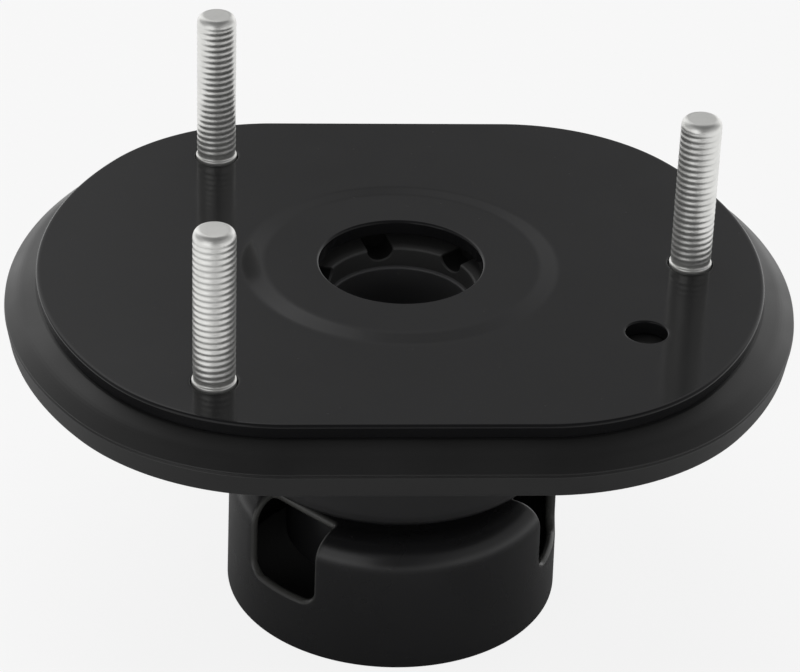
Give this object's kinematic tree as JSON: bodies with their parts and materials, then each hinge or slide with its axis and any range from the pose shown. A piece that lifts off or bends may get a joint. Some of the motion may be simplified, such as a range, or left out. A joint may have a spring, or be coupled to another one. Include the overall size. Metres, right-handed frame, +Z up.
{
  "type": "strut mount",
  "caption": "Oval strut top mount: steel plate with upright threaded studs, rubber spring seat skirt, bonded rubber bush in a drawn bowl and a windowed bump stop cup below.",
  "frame": {"origin": "on the mount's axis, in the plane of the bump stop cup's rim that it stands on", "axes": "+X along the plate's length to the single stud, +Y to the back across the plate's straight sides, +Z up along the studs"},
  "size_m": [0.1548, 0.1308, 0.1055],
  "materials": {
    "plate_paint": "smooth black dip coat, semi-gloss",
    "stud_zinc": "bright zinc plate over a rolled thread",
    "pad_rubber": "moulded, satin black",
    "housing_paint": "black dip coat, satin",
    "bush_rubber": "moulded, dull black",
    "rod_cup_paint": "black dip coat, satin",
    "cup_paint": "black dip coat, satin"
  },
  "bodies": {
    "root": {"upper_plate": "plate_paint", "mounting_studs": "stud_zinc", "seat_pad": "pad_rubber", "housing": "housing_paint", "rubber_bush": "bush_rubber", "rod_cup": "rod_cup_paint", "bump_cup": "cup_paint"}
  },
  "joints": []
}
